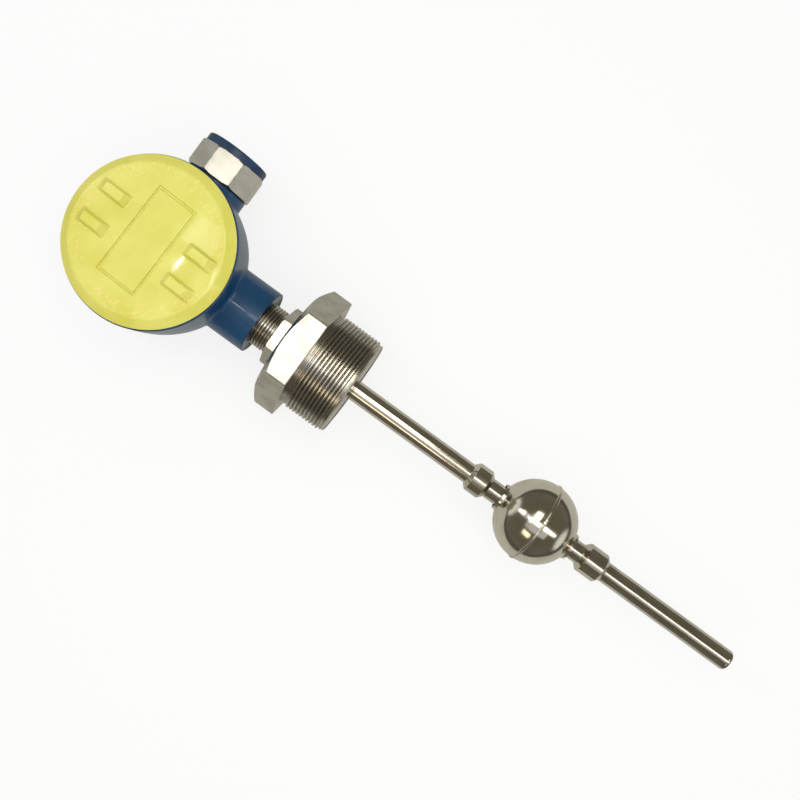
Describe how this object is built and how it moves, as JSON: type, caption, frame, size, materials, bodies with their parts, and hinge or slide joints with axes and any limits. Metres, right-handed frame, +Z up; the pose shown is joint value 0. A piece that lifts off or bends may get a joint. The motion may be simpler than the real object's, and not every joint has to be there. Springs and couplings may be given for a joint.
{
  "type": "float level switch",
  "caption": "Top-mounted float level switch: cast head with screwed cover and side cable entry, hex pipe-thread connection, guide stem with stop collars and a ball float.",
  "frame": {"origin": "centre of the underside of the big process hex, where the pipe thread starts", "axes": "+Z up the stem towards the head, stem hangs to -Z; the cover faces -Y; the cable entry points to +X"},
  "size_m": [0.116, 0.0785, 0.4373],
  "materials": {
    "cover_paint": "pale yellow gloss paint on cast aluminium",
    "housing_paint": "dark blue gloss paint on cast aluminium",
    "turned_steel": "machined stainless steel",
    "polished_steel": "polished stainless steel",
    "nickel_plate": "nickel plated brass, satin",
    "plug_plastic": "blue moulded plastic",
    "black_rubber": "black rubber",
    "terminal_plastic": "pale grey moulded plastic",
    "plated_brass": "plated brass",
    "zinc_steel": "zinc plated steel",
    "magnet_ferrite": "dark sintered ferrite",
    "switch_glass": "clear green-tinted glass",
    "strip_board": "glass-fibre board",
    "wire_brown": "brown wire insulation",
    "wire_blue": "blue wire insulation",
    "potting_resin": "black casting resin"
  },
  "bodies": {
    "head_and_stem": {"housing": "housing_paint", "entry_gasket": "black_rubber", "entry_adapter": "nickel_plate", "hex_nipple": "turned_steel", "process_bushing": "turned_steel", "stem_tube": "polished_steel", "stem_end_plug": "polished_steel", "upper_stop_collar": "polished_steel", "lower_stop_collar": "polished_steel", "collar_set_screws": "zinc_steel", "reed_glass": "switch_glass", "reed_blades": "zinc_steel", "reed_carrier": "strip_board", "lead_wire_left": "wire_brown", "lead_wire_right": "wire_blue", "stem_potting": "potting_resin", "terminal_base": "terminal_plastic", "terminal_clamps": "plated_brass", "terminal_screws": "zinc_steel", "terminal_mount_screws": "zinc_steel", "earth_washer": "zinc_steel", "earth_screw": "zinc_steel"},
    "float": {"float_upper_shell": "polished_steel", "float_lower_shell": "polished_steel", "float_weld_bead": "polished_steel", "float_guide_tube": "polished_steel", "float_magnet": "magnet_ferrite", "float_magnet_clips": "zinc_steel"},
    "cover_seal": {"cover_seal": "black_rubber"},
    "cover": {"cover": "cover_paint"},
    "entry_cap": {"entry_cap": "plug_plastic"}
  },
  "joints": [
    {"name": "float_slide", "type": "slide", "parent": "head_and_stem", "child": "float", "axis": [0, 0, 1], "range_m": [-0.00675, 0.00825]},
    {"name": "cover_lift", "type": "slide", "parent": "head_and_stem", "child": "cover_seal", "axis": [0, -1, 0], "range_m": [0, 0.01205]},
    {"name": "cover_turn", "type": "hinge", "parent": "cover_seal", "child": "cover", "pos_m": [0, -0.0375, 0.1011], "axis": [0, -1, 0], "range_deg": [0, 2160]},
    {"name": "entry_cap_pull", "type": "slide", "parent": "head_and_stem", "child": "entry_cap", "axis": [1, 0, 0], "range_m": [0, 0.008]}
  ],
  "couplings": [
    {"joint": "cover_lift", "follows": "cover_turn", "m_per_rad": 0.00031831}
  ]
}
